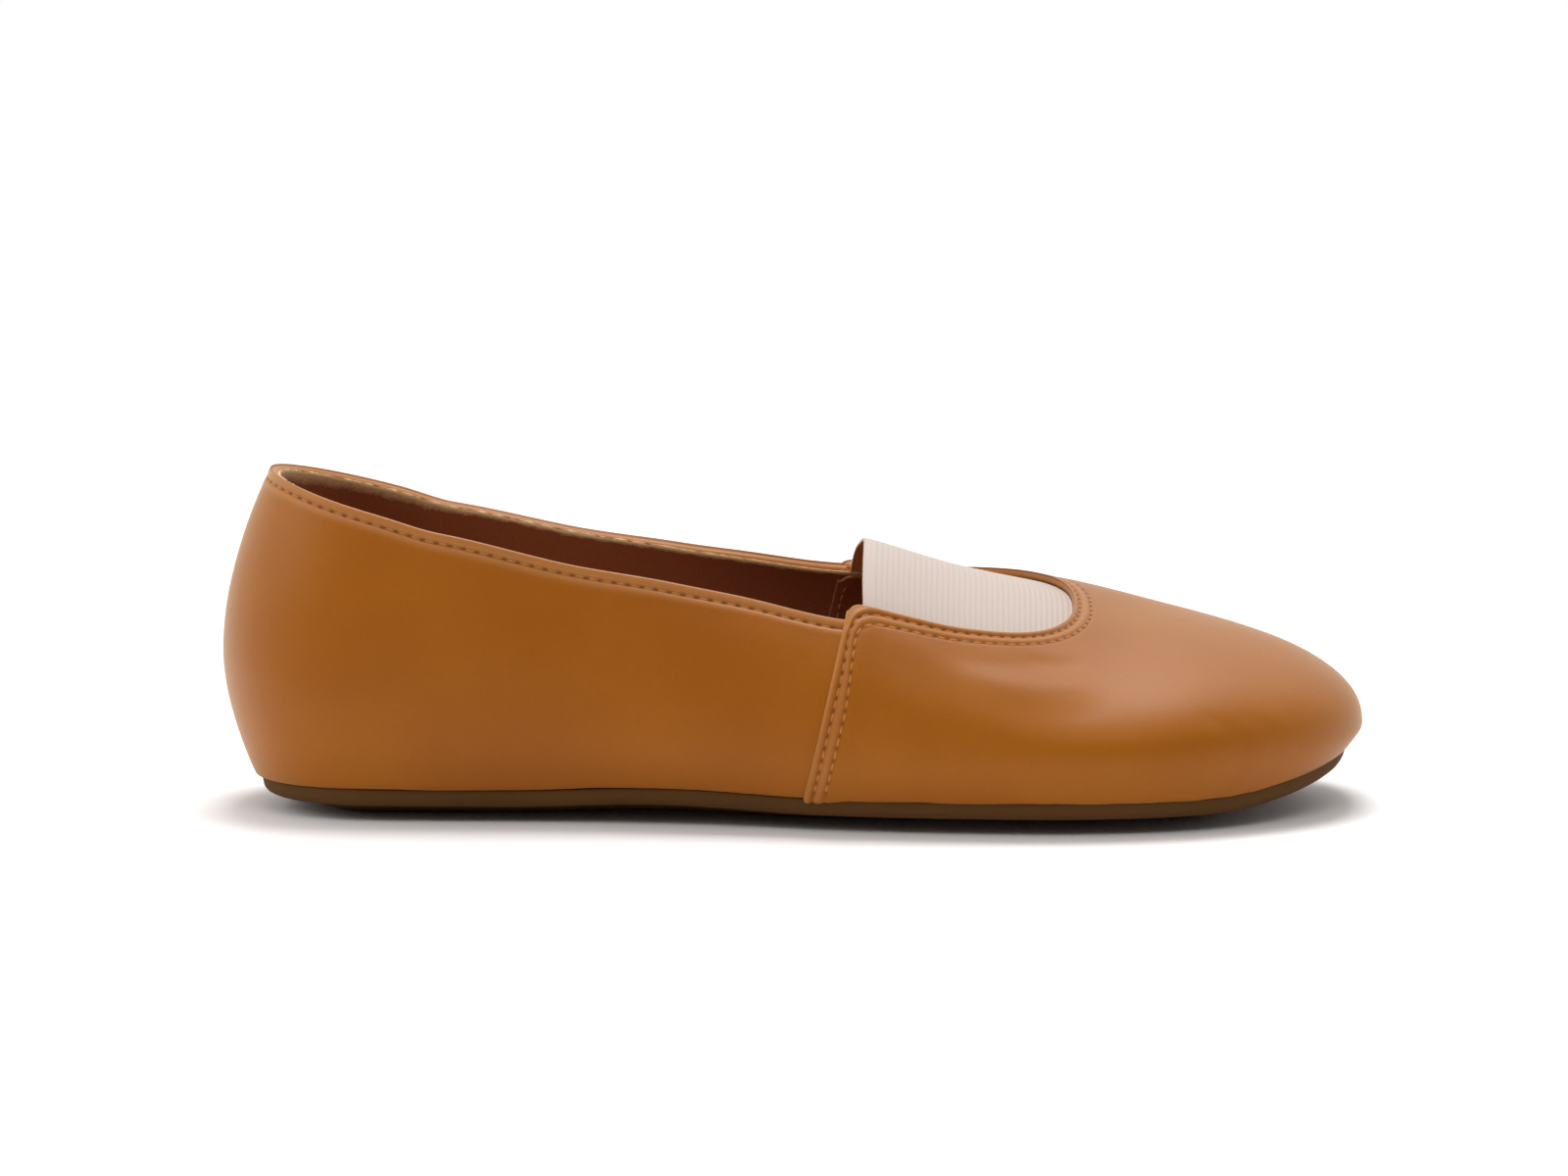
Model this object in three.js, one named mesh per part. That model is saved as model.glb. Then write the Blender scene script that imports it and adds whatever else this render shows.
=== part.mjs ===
// A slip-on flat shoe for the right foot: outsole, upper, elastic gore and insole.
// Millimetres. X runs from heel to toe, Y from the outer side to the inner side, Z up.
import * as THREE from 'three';
import { mergeVertices } from 'three/addons/utils/BufferGeometryUtils.js';

// Sizes of the last. Heights count from the lower edge of the sole's side.
const length = 250;
const ballWidth = 92;
const heelWidth = 64;
const heelHeight = 73;
const instepHeight = 56.5;
const heelRound = 35;
const heelFullness = 2.2;
const toeRound = 55;
const toeFullness = 2.3;
const toeLean = 5;
const toeSpring = 7.8;
const archRise = 1;

// Sizes of the pieces
const wall = 2;
const rimRise = 0.7;
const lastingMargin = 10;
const soleThickness = 4;
const soleSetback = 0.8;
const soleBevel = 0.7;
const heelSetback = 1.5;
const setbackRun = 30;
const soleCamber = 3.4;
const heelRun = 20;
const toeRun = 34;
const insoleThickness = 3;
const goreThickness = 1;
const goreTuck = 6;
const clearance = 0.3;
const sideClearance = 0.8;

// Throat: the vamp's corners, the depth of the U and how full its curve is
const throatBack = 13;
const throatDepth = 48;
const throatSpread = 0.7;
const throatFullness = 2.5;
const goreSetback = 2.5;
const cornerStep = 1;

// Sections of the last. at is the share of the length from the heel.
// lateral and medial are half widths, tuck is how far the bottom edge lies inside the widest
// line: shares of the width there. belly is the height of the widest line and crown the top of
// the last: shares of the height there. full is the exponent of the curve over the top, and
// roll is how much the top leans up to the inner side.
const sections = [
  { at: 0.00, lateral: 0.5, medial: 0.5, tuck: 0.106, belly: 0.425, crown: 1.245, full: 1.65, roll: 0 },
  { at: 0.10, lateral: 0.5, medial: 0.5, tuck: 0.08, belly: 0.37, crown: 1.233, full: 1.80, roll: 0 },
  { at: 0.20, lateral: 0.508, medial: 0.492, tuck: 0.07, belly: 0.322, crown: 1.205, full: 1.90, roll: 0 },
  { at: 0.35, lateral: 0.508, medial: 0.463, tuck: 0.063, belly: 0.275, crown: 1.143, full: 1.95, roll: 0 },
  { at: 0.45, lateral: 0.508, medial: 0.455, tuck: 0.057, belly: 0.271, crown: 1.054, full: 2.05, roll: 0 },
  { at: 0.55, lateral: 0.521, medial: 0.463, tuck: 0.041, belly: 0.265, crown: 1.00, full: 2.10, roll: 0.03 },
  { at: 0.65, lateral: 0.522, medial: 0.466, tuck: 0.034, belly: 0.25, crown: 0.845, full: 2.15, roll: 0.13 },
  { at: 0.75, lateral: 0.521, medial: 0.472, tuck: 0.031, belly: 0.245, crown: 0.722, full: 2.2, roll: 0.215 },
  { at: 0.85, lateral: 0.49, medial: 0.46, tuck: 0.029, belly: 0.245, crown: 0.64, full: 2.30, roll: 0.12 },
  { at: 0.93, lateral: 0.45, medial: 0.445, tuck: 0.028, belly: 0.25, crown: 0.57, full: 2.45, roll: 0.06 },
  { at: 1.00, lateral: 0.425, medial: 0.435, tuck: 0.028, belly: 0.257, crown: 0.50, full: 2.50, roll: 0 },
];

// Height of the collar, as shares of the height there
const collar = [
  { at: 0.02, lateral: 1.014, medial: 1.014 },
  { at: 0.06, lateral: 0.97, medial: 0.97 },
  { at: 0.10, lateral: 0.925, medial: 0.93 },
  { at: 0.15, lateral: 0.878, medial: 0.882 },
  { at: 0.20, lateral: 0.831, medial: 0.831 },
  { at: 0.30, lateral: 0.785, medial: 0.797 },
  { at: 0.40, lateral: 0.797, medial: 0.822 },
  { at: 0.47, lateral: 0.795, medial: 0.838 },
  { at: 0.55, lateral: 0.755, medial: 0.82 },
];

// Where the widths and heights change from the heel's to the forefoot's
const widthChange = { from: 0.25, to: 0.75 };
const heightChange = { from: 0.20, to: 0.55 };
// Where the sole leaves the floor: the arch and the toe
const arch = { from: 0.25, to: 0.52 };
const springStart = 0.85;
const springCurve = 1.9;
// Share of the half width that the middle of the sole lies flat
const flatShare = 0.5;
// Where the middle line starts to lean to the inner side
const leanStart = 0.4;
// The rays of the last run from a spine this much shorter than the outline
const spineShare = 0.75;
// How the wall curls in below the widest line
const tuckCurve = 1.7;

// Fineness of the meshes
const quarterSteps = 54;
const vampSteps = 50;
const wallSteps = 9;
const lowerSteps = [0.4, 0.7, 0.9];
const soleSteps = { rows: 40, columns: 8 };
const goreSteps = { rows: 24, columns: 12 };
const outlineSamples = 160;
const arcSamples = 1000;
const halvings = 40;
const mergeDistance = 1e-3;
const slopeStep = 0.05;

const { clamp, lerp, smoothstep } = THREE.MathUtils;

// Place of a length along the shoe, as a share from the heel
function share(x) {
  return clamp(x / length + 0.5, 0, 1);
}

// Smooth value of one column of a table
function along(table, column, at) {
  const last = table.length - 1;
  const place = clamp(at, table[0].at, table[last].at);
  let k = 0;
  while (k < last - 1 && place > table[k + 1].at) k += 1;
  const slope = (j) => {
    const before = table[Math.max(j - 1, 0)];
    const after = table[Math.min(j + 1, last)];
    return (after[column] - before[column]) / (after.at - before.at);
  };
  const span = table[k + 1].at - table[k].at;
  const s = (place - table[k].at) / span;
  const start = table[k][column] * (1 + 2 * s) * (1 - s) ** 2 + slope(k) * span * s * (1 - s) ** 2;
  const end = table[k + 1][column] * (3 - 2 * s) * s ** 2 - slope(k + 1) * span * (1 - s) * s ** 2;
  return start + end;
}

function widthAt(x) {
  return lerp(heelWidth, ballWidth, smoothstep(share(x), widthChange.from, widthChange.to));
}

function heightAt(x) {
  return lerp(heelHeight, instepHeight, smoothstep(share(x), heightChange.from, heightChange.to));
}

// Share between 0 and 1 from which a test holds
function firstShare(test) {
  let low = 0;
  let high = 1;
  for (let step = 0; step < halvings; step += 1) {
    const middle = (low + high) / 2;
    if (test(middle)) high = middle;
    else low = middle;
  }
  return high;
}

// Fall of a rounded curve: 1 at its start, 0 and steep at its end
function arcFall(part, fullness) {
  return Math.max(0, 1 - clamp(part, 0, 1) ** fullness) ** (1 / fullness);
}

function centreLine(x) {
  return toeLean * smoothstep(share(x), leanStart, 1);
}

// Half width of the last on one side, drawn in by an inset
function halfWidth(side, x, inset = 0) {
  const column = side < 0 ? 'lateral' : 'medial';
  const full = along(sections, column, share(x)) * widthAt(x) - inset;
  const heelPart = (heelRound - length / 2 - x) / (heelRound - inset);
  const toePart = (x - length / 2 + toeRound) / (toeRound - inset);
  return full * arcFall(heelPart, heelFullness) * arcFall(toePart, toeFullness);
}

// How far the bottom edge lies inside the widest line
function tuckAt(x) {
  return along(sections, 'tuck', share(x)) * widthAt(x);
}

// Lower edge of the sole's side, with the arch and the toe spring
function floorAt(x) {
  const at = share(x);
  const rise = archRise * Math.sin(Math.PI * clamp((at - arch.from) / (arch.to - arch.from), 0, 1)) ** 2;
  const spring = toeSpring * clamp((at - springStart) / (1 - springStart), 0, 1) ** springCurve;
  return rise + spring;
}

// Underside of the sole: its middle bulges down to a flat and rises to the edge all round.
// part runs from -1 at the outer side to 1 at the inner side.
function underside(x, part) {
  const heelEnd = bottomInset(-length / 2) - length / 2;
  const toeEnd = length / 2 - bottomInset(length / 2);
  const sideways = 1 - smoothstep(Math.abs(part), flatShare, 1);
  const lengthways = smoothstep(x, heelEnd, heelEnd + heelRun) * (1 - smoothstep(x, toeEnd - toeRun, toeEnd));
  return floorAt(x) - soleCamber * sideways * lengthways;
}

function soleTop(x) {
  return floorAt(x) + soleThickness;
}

function featherAt(x) {
  return soleTop(x) + clearance;
}

// Share of the way from the spine to the widest line, and where the ray ends on that line
function rayAt(x, y) {
  const offset = y - centreLine(x);
  const side = offset < 0 ? -1 : 1;
  const endAt = (r) => x / (spineShare + (1 - spineShare) * r);
  const passes = (r) => Math.abs(endAt(r)) < length / 2 && r * halfWidth(side, endAt(r)) > Math.abs(offset);
  const r = firstShare(passes);
  return { r, end: clamp(endAt(r), -length / 2, length / 2) };
}

// Height of the widest line
function bellyAt(x) {
  return along(sections, 'belly', share(x)) * heightAt(x);
}

// Height of the last above its widest line
function lastTop(x, y) {
  const { r, end } = rayAt(x, y);
  const belly = bellyAt(end);
  const crown = along(sections, 'crown', share(x)) * heightAt(x);
  const roll = along(sections, 'roll', share(x)) * (y - centreLine(x));
  return belly + (crown - belly + roll) * arcFall(r, along(sections, 'full', share(end)));
}

// Outline of the widest line
function outlinePoint(side, x) {
  return new THREE.Vector2(x, centreLine(x) + side * halfWidth(side, x));
}

// Even points of that outline, from a place on the outer side round the heel to the inner side
function heelOutline(from, steps) {
  const points = [];
  for (let k = 0; k <= 2 * outlineSamples; k += 1) {
    const turn = Math.sin((Math.PI / 2) * (1 - Math.abs(1 - k / outlineSamples)));
    const side = k <= outlineSamples ? -1 : 1;
    points.push(outlinePoint(side, from - (from + length / 2) * turn));
  }
  const curve = new THREE.SplineCurve(points);
  curve.arcLengthDivisions = arcSamples;
  return curve.getSpacedPoints(steps);
}

function collarHeight(x, y) {
  const column = y < centreLine(x) ? 'lateral' : 'medial';
  return along(collar, column, share(x)) * heightAt(x);
}

// Where the ray from the widest line to the spine meets the collar
function collarPoint(edge) {
  const spineX = edge.x * spineShare;
  const spine = new THREE.Vector2(spineX, centreLine(spineX));
  const rises = (part) => {
    const p = edge.clone().lerp(spine, part);
    return lastTop(p.x, p.y) > collarHeight(p.x, p.y);
  };
  return edge.clone().lerp(spine, firstShare(rises));
}

// Throat edge, by the angle from the outer corner over the toe side to the inner corner
function throatPoint(angle) {
  const power = 2 / throatFullness;
  const across = -Math.sign(Math.cos(angle)) * Math.abs(Math.cos(angle)) ** power;
  const x = throatBack + throatDepth * Math.sin(angle) ** power;
  const half = throatSpread * halfWidth(Math.sign(across), throatBack);
  return new THREE.Vector2(x, centreLine(x) + half * across);
}

// Point of the widest line that lies in one direction from a point
function reach(from, angle) {
  const direction = new THREE.Vector2(Math.sin(angle), -Math.cos(angle));
  const pointAt = (part) => from.clone().addScaledVector(direction, part * length);
  const leaves = (part) => {
    const { x, y } = pointAt(part);
    const offset = y - centreLine(x);
    return Math.abs(x) > length / 2 || Math.abs(offset) > halfWidth(Math.sign(offset), x);
  };
  return pointAt(firstShare(leaves));
}

// Stations round the shoe: a point of the widest line and one of the top edge
function stations() {
  const heel = heelOutline(throatBack - cornerStep, quarterSteps);
  const quarters = heel.map((edge) => ({ edge, top: collarPoint(edge) }));
  const vamp = [];
  for (let k = 0; k <= vampSteps; k += 1) {
    const angle = Math.PI * (1 - k / vampSteps);
    const top = throatPoint(angle);
    vamp.push({ edge: reach(top, angle), top });
  }
  return quarters.concat(vamp);
}

// Outer face of the upper at one station, from the bottom edge to the top edge
function outerWall(station, inward) {
  const { edge, top } = station;
  const belly = bellyAt(edge.x);
  const tuck = tuckAt(edge.x);
  const points = [];
  for (const part of [...lowerSteps].reverse()) {
    const p = edge.clone().addScaledVector(inward, tuck * part ** tuckCurve);
    points.push(new THREE.Vector3(p.x, p.y, lerp(belly, featherAt(p.x), part)));
  }
  points.push(new THREE.Vector3(edge.x, edge.y, belly));
  for (let k = 1; k <= wallSteps; k += 1) {
    const p = edge.clone().lerp(top, (k / wallSteps) ** 2);
    points.push(new THREE.Vector3(p.x, p.y, lastTop(p.x, p.y)));
  }
  return points;
}

// Closed mesh through rows of points. Each row is a closed loop: with closed set the last row
// joins the first, and otherwise both ends are capped.
function loft(rows, closed) {
  const count = rows[0].length;
  const positions = rows.flat().flatMap((p) => [p.x, p.y, p.z]);
  const index = [];
  const last = closed ? rows.length : rows.length - 1;
  for (let i = 0; i < last; i += 1) {
    for (let j = 0; j < count; j += 1) {
      const a = i * count + j;
      const b = i * count + ((j + 1) % count);
      const c = ((i + 1) % rows.length) * count + j;
      const d = ((i + 1) % rows.length) * count + ((j + 1) % count);
      index.push(a, c, b, b, c, d);
    }
  }
  if (!closed) {
    for (const [row, flip] of [[0, false], [rows.length - 1, true]]) {
      for (let j = 0; j < count / 2 - 1; j += 1) {
        const a = row * count + j;
        const b = a + 1;
        const c = row * count + count - 1 - j;
        const d = c - 1;
        if (flip) index.push(a, c, b, b, c, d);
        else index.push(a, b, c, b, d, c);
      }
    }
  }
  const geometry = new THREE.BufferGeometry();
  geometry.setAttribute('position', new THREE.Float32BufferAttribute(positions, 3));
  geometry.setIndex(index);
  return tidy(geometry);
}

// Merges equal corners and drops the triangles that this closes
function tidy(geometry) {
  const merged = mergeVertices(geometry, mergeDistance);
  const old = merged.getIndex().array;
  const index = [];
  for (let k = 0; k < old.length; k += 3) {
    const [a, b, c] = [old[k], old[k + 1], old[k + 2]];
    if (a !== b && b !== c && c !== a) index.push(a, b, c);
  }
  merged.setIndex(index);
  merged.computeVertexNormals();
  return merged;
}

// Upper: one hollow wall with a lasting margin turned in under the insole
function upperGeometry() {
  const around = stations();
  const count = around.length;
  const wrap = (i) => (i + count) % count;
  const inwards = around.map((station, i) => {
    const tangent = around[wrap(i + 1)].edge.clone().sub(around[wrap(i - 1)].edge).normalize();
    return new THREE.Vector2(tangent.y, -tangent.x);
  });
  const outer = around.map((station, i) => outerWall(station, inwards[i]));
  const rows = outer.map((points, i) => {
    const inner = points.map((p, j) => {
      const down = points[Math.max(j - 1, 0)];
      const up = points[Math.min(j + 1, points.length - 1)];
      const turn = outer[wrap(i + 1)][j].clone().sub(outer[wrap(i - 1)][j]);
      const normal = turn.cross(up.clone().sub(down)).normalize();
      return p.clone().addScaledVector(normal, wall);
    });
    return wallLoop(around[i].edge, inwards[i], [...points], inner);
  });
  return loft(rows, true);
}

// Loop round the wall at one station: up the inner face, over the edge, down the outer face and
// round the lasting margin
function wallLoop(edge, inward, outer, inner) {
  const tuck = tuckAt(edge.x);
  const at = (inset, rise) => {
    const p = edge.clone().addScaledVector(inward, inset);
    return new THREE.Vector3(p.x, p.y, featherAt(p.x) + rise);
  };
  const crest = outer[outer.length - 1].clone().lerp(inner[inner.length - 1], 0.5);
  crest.z += rimRise;
  const margin = [
    at(tuck + wall, wall),
    at(tuck + lastingMargin, wall),
    at(tuck + lastingMargin, 0),
    at(tuck, 0),
  ];
  return [...inner.slice(1), crest, ...outer.reverse(), ...margin.reverse()];
}

// Rows of points across the shoe, from its heel end to its toe end
function rowsAcross(steps, ends, half, place) {
  const rows = [];
  for (let i = 0; i <= steps.rows; i += 1) {
    const x = lerp(ends.from, ends.to, (1 - Math.cos((Math.PI * i) / steps.rows)) / 2);
    const row = [];
    for (let j = 0; j <= steps.columns; j += 1) {
      const part = Math.sin((Math.PI / 2) * ((2 * j) / steps.columns - 1));
      row.push(place(x, centreLine(x) + part * half(part < 0 ? -1 : 1, x), part));
    }
    rows.push(row);
  }
  return rows;
}

// Closed sheet between the rows of its upper and lower faces
function sheet(top, bottom) {
  return loft(top.map((row, i) => [...row, ...[...bottom[i]].reverse()]), false);
}

// Rows of a face that lies inside the widest line by an inset, at a height of its own
function insetRows(inset, height) {
  const ends = { from: inset(-length / 2) - length / 2, to: length / 2 - inset(length / 2) };
  const half = (side, x) => halfWidth(side, x, inset(x));
  return rowsAcross(soleSteps, ends, half, (x, y, part) => new THREE.Vector3(x, y, height(x, part)));
}

// How far the sole's upper and lower edges lie inside the widest line, a little more at the heel
function topInset(x) {
  return tuckAt(x) + soleSetback + heelSetback * (1 - smoothstep(x, -length / 2, setbackRun - length / 2));
}

function bottomInset(x) {
  return topInset(x) + soleBevel;
}

function soleGeometry() {
  return sheet(insetRows(topInset, soleTop), insetRows(bottomInset, underside));
}

// Thin sock that lies on the lasting margin, inside the wall
function insoleGeometry() {
  const inset = (x) => tuckAt(x) + wall + sideClearance;
  const base = (x) => featherAt(x) + wall + clearance;
  return sheet(insetRows(inset, (x) => base(x) + insoleThickness), insetRows(inset, base));
}

// Point under the last's surface by a depth
function lastPoint(x, y, depth) {
  const slopeX = (lastTop(x + slopeStep, y) - lastTop(x - slopeStep, y)) / (2 * slopeStep);
  const slopeY = (lastTop(x, y + slopeStep) - lastTop(x, y - slopeStep)) / (2 * slopeStep);
  const normal = new THREE.Vector3(-slopeX, -slopeY, 1).normalize();
  return new THREE.Vector3(x, y, lastTop(x, y)).addScaledVector(normal, -depth);
}

// Elastic gore: follows the last over the instep, tucked in under the throat edge
function goreGeometry() {
  const depth = wall + clearance;
  const ends = { from: throatBack + goreSetback, to: throatBack + throatDepth + goreTuck };
  const half = (side, x) => {
    const reachX = (x - throatBack) / (throatDepth + goreTuck);
    return (throatSpread * halfWidth(side, throatBack) + goreTuck) * arcFall(reachX, throatFullness);
  };
  const face = (under) => rowsAcross(goreSteps, ends, half, (x, y) => lastPoint(x, y, under));
  return sheet(face(depth), face(depth + goreThickness));
}

// Leather, rubber, elastic and sock cloth
const leather = new THREE.MeshStandardMaterial({ color: 0xb06a2c, roughness: 0.45, metalness: 0 });
const rubber = new THREE.MeshStandardMaterial({ color: 0x5a442c, roughness: 0.8, metalness: 0 });
const elastic = new THREE.MeshStandardMaterial({ color: 0xdccdbf, roughness: 0.85, metalness: 0 });
const sock = new THREE.MeshStandardMaterial({ color: 0x6b4a2c, roughness: 0.9, metalness: 0 });

const shoe = new THREE.Group();

function add(name, geometry, material) {
  const mesh = new THREE.Mesh(geometry, material);
  mesh.name = name;
  shoe.add(mesh);
}

add('upper', upperGeometry(), leather);
add('outsole', soleGeometry(), rubber);
add('insole', insoleGeometry(), sock);
add('elastic_gore', goreGeometry(), elastic);

// The widths differ from side to side and the sole bulges down, so the shoe is moved to stand
// on the floor, centred on the origin
const box = new THREE.Box3().setFromObject(shoe);
shoe.position.y = -(box.min.y + box.max.y) / 2;
shoe.position.z = -box.min.z;

export default shoe;
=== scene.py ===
import math

import bmesh
import bpy
import numpy as np
from mathutils import Matrix, Vector


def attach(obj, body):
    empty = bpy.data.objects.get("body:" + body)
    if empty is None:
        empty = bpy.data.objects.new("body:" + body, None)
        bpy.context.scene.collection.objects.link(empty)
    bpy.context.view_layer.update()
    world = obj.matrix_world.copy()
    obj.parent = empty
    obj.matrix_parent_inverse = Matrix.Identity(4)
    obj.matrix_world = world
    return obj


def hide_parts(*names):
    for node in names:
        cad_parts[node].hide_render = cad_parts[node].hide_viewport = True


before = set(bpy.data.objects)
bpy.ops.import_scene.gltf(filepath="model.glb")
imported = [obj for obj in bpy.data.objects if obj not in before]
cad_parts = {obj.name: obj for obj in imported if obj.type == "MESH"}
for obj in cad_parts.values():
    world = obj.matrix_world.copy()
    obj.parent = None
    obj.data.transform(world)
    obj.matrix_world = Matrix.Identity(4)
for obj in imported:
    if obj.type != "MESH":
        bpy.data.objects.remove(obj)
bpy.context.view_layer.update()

# Camera
# The shoe is seen from its outer side, level along its length and from slightly above,
# through a long lens. The aim lies a little above the middle of the shoe.
MM = 0.001
VIEW_TURN = math.radians(0.6)
VIEW_RISE = math.radians(8.3)
VIEW_DISTANCE = 1200 * MM
AIM_ACROSS = -1.94 * MM
AIM_UP = 46.99 * MM

view_right = Vector((math.cos(VIEW_TURN), math.sin(VIEW_TURN), 0))
view_forward = Vector((
    -math.sin(VIEW_TURN) * math.cos(VIEW_RISE),
    math.cos(VIEW_TURN) * math.cos(VIEW_RISE),
    -math.sin(VIEW_RISE),
))
view_up = view_right.cross(view_forward)
camera_data = bpy.data.cameras.new("camera")
camera_data.lens = 125.0
camera_data.sensor_width = 36.0
camera_data.clip_end = 30
camera = bpy.data.objects.new("camera", camera_data)
bpy.context.scene.collection.objects.link(camera)
aim = view_right * AIM_ACROSS + view_up * AIM_UP
camera.matrix_world = Matrix.Translation(aim - view_forward * VIEW_DISTANCE) @ Matrix((
    view_right, view_up, -view_forward,
)).transposed().to_4x4()
bpy.context.scene.camera = camera


# Floor and light
# A white floor under three square lamps: overhead, in front and at the heel's side. The studio
# is white and dimmer at the front, so that the shoe's side stays deep in colour and its top
# gets its pale gloss. The floor ends while it is still as white as the studio behind it.
class Wire:
    """One output of a shader node. Python's operators add Math nodes to it."""

    def __init__(self, tree, socket=None):
        self.tree = tree
        self.socket = socket

    def node(self, kind, inputs=None, settings=None, output=0):
        """Adds a node with its settings, sets or links its inputs and gives one output."""
        made = self.tree.nodes.new("ShaderNode" + kind)
        for name, value in (settings or {}).items():
            setattr(made, name, value)
        for name, value in (inputs or {}).items():
            if isinstance(value, Wire):
                self.tree.links.new(value.socket, made.inputs[name])
            else:
                made.inputs[name].default_value = value
        return Wire(self.tree, made.outputs[output])

    def maths(self, operation, first, second=0.0):
        return self.node("Math", {0: first, 1: second}, {"operation": operation})

    def __add__(self, other):
        return self.maths("ADD", self, other)

    def __radd__(self, other):
        return self.maths("ADD", other, self)

    def __sub__(self, other):
        return self.maths("SUBTRACT", self, other)

    def __rsub__(self, other):
        return self.maths("SUBTRACT", other, self)

    def __mul__(self, other):
        return self.maths("MULTIPLY", self, other)

    def __rmul__(self, other):
        return self.maths("MULTIPLY", other, self)

    def mix(self, factor, first, second):
        """A colour between two, each of them a wire or three numbers."""
        colours = [c if isinstance(c, Wire) else (*c, 1) for c in (first, second)]
        return self.node("Mix", {0: factor, 6: colours[0], 7: colours[1]}, {"data_type": "RGBA"}, 2)

    def mark(self, name):
        """A number that the mesh holds at each of its corners."""
        return self.node("Attribute", settings={"attribute_name": name}, output=2)


def new_finish(name, base, roughness, specular, sheen=0.0):
    """A material with its surface shader, and a wire to build its patterns from."""
    material = bpy.data.materials.new(name)
    material.use_nodes = True
    tree = material.node_tree
    surface = tree.nodes["Principled BSDF"]
    surface.inputs["Base Color"].default_value = (*base, 1)
    surface.inputs["Roughness"].default_value = roughness
    surface.inputs["Specular IOR Level"].default_value = specular
    surface.inputs["Coat Roughness"].default_value = 0.5
    surface.inputs["Coat IOR"].default_value = 1.38
    surface.inputs["Sheen Weight"].default_value = sheen
    surface.inputs["Sheen Roughness"].default_value = 0.5
    return material, surface, Wire(tree)


def feed(wire, surface, socket):
    wire.tree.links.new(wire.socket, surface.inputs[socket])


FLOOR_HALF = 1.05

floor_shape = bmesh.new()
bmesh.ops.create_grid(floor_shape, x_segments=1, y_segments=1, size=FLOOR_HALF)
floor_mesh = bpy.data.meshes.new("floor")
floor_shape.to_mesh(floor_mesh)
floor_shape.free()
floor = bpy.data.objects.new("floor", floor_mesh)
bpy.context.scene.collection.objects.link(floor)
floor.data.materials.append(new_finish("white_paper", (0.96, 0.96, 0.96), 0.9, specular=0.1)[0])

# Each lamp: name, place, width of its square and power
LAMPS = (
    ("overhead", (0.05, 0.36, 1.6), 0.7, 17.0),
    ("front", (0.15, -1.1, 1.6), 0.9, 6.5),
    ("heel_side", (-1.3, -0.55, 0.8), 0.8, 5.5),
)
for name, place, width, power in LAMPS:
    lamp = bpy.data.lights.new(name, "AREA")
    lamp.size = width
    lamp.energy = power
    lamp_object = bpy.data.objects.new(name, lamp)
    lamp_object.location = place
    lamp_object.rotation_euler = (-Vector(place)).to_track_quat("-Z", "Y").to_euler()
    bpy.context.scene.collection.objects.link(lamp_object)

STUDIO_FRONT = 0.12
STUDIO_BACK = 0.88

world = bpy.data.worlds.new("studio")
world.use_nodes = True
bpy.context.scene.world = world
studio = Wire(world.node_tree)
way = studio.node("SeparateXYZ", {"Vector": studio.node("TexCoord", output=0)}, output=1)
behind = studio.node(
    "MapRange", {0: way, 1: -0.7, 2: 0.2, 3: STUDIO_FRONT, 4: STUDIO_BACK},
    {"interpolation_type": "SMOOTHSTEP"})
seen = studio.node("LightPath")
background = world.node_tree.nodes["Background"]
background.inputs["Color"].default_value = (1, 1, 1, 1)
feed(studio.node("Mix", {0: seen, 2: behind, 3: 1.0}), background, "Strength")
bpy.context.scene.view_settings.view_transform = "Standard"


# Quarters
# One piece of smooth tan leather from side seam to side seam round the heel. It is drawn over
# the last and under the insole, and folded over padding at the collar into a round bead,
# with one row of stitches below it.
LENGTH = 250
BALL_WIDTH = 92
HEEL_WIDTH = 64
HEEL_HEIGHT = 73
INSTEP_HEIGHT = 56.5
HEEL_ROUND = 35
HEEL_FULLNESS = 2.2
TOE_ROUND = 55
TOE_FULLNESS = 2.3
TOE_LEAN = 5
LEAN_START = 0.4
TOE_SPRING = 7.8
SPRING_START = 0.85
SPRING_CURVE = 1.9
ARCH_RISE = 1
ARCH_FROM = 0.25
ARCH_TO = 0.52
SPINE_SHARE = 0.75
TUCK_CURVE = 1.7
SOLE_THICKNESS = 4
WALL = 2
LEATHER_GAP = 0.15
SOLE_CAMBER = 3.4


def table(names, *rows):
    """The columns of some rows of numbers, by name."""
    return {name: np.array([row[k] for row in rows], float) for k, name in enumerate(names.split())}


# The last, section by section: the same shape as the upper's solid
SECTIONS = table(
    "at lateral medial tuck belly crown full roll",
    (0.00, 0.500, 0.500, 0.106, 0.425, 1.245, 1.65, 0.000),
    (0.10, 0.500, 0.500, 0.080, 0.370, 1.233, 1.80, 0.000),
    (0.20, 0.508, 0.492, 0.070, 0.322, 1.205, 1.90, 0.000),
    (0.35, 0.508, 0.463, 0.063, 0.275, 1.143, 1.95, 0.000),
    (0.45, 0.508, 0.455, 0.057, 0.271, 1.054, 2.05, 0.000),
    (0.55, 0.521, 0.463, 0.041, 0.265, 1.000, 2.10, 0.030),
    (0.65, 0.522, 0.466, 0.034, 0.250, 0.845, 2.15, 0.130),
    (0.75, 0.521, 0.472, 0.031, 0.245, 0.722, 2.20, 0.215),
    (0.85, 0.490, 0.460, 0.029, 0.245, 0.640, 2.30, 0.120),
    (0.93, 0.450, 0.445, 0.028, 0.250, 0.570, 2.45, 0.060),
    (1.00, 0.425, 0.435, 0.028, 0.257, 0.500, 2.50, 0.000),
)
COLLAR = table(
    "at lateral medial",
    (0.02, 1.014, 1.014),
    (0.06, 0.970, 0.970),
    (0.10, 0.925, 0.930),
    (0.15, 0.878, 0.882),
    (0.20, 0.831, 0.831),
    (0.30, 0.785, 0.797),
    (0.40, 0.797, 0.822),
    (0.47, 0.795, 0.838),
    (0.55, 0.755, 0.820),
)


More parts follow.
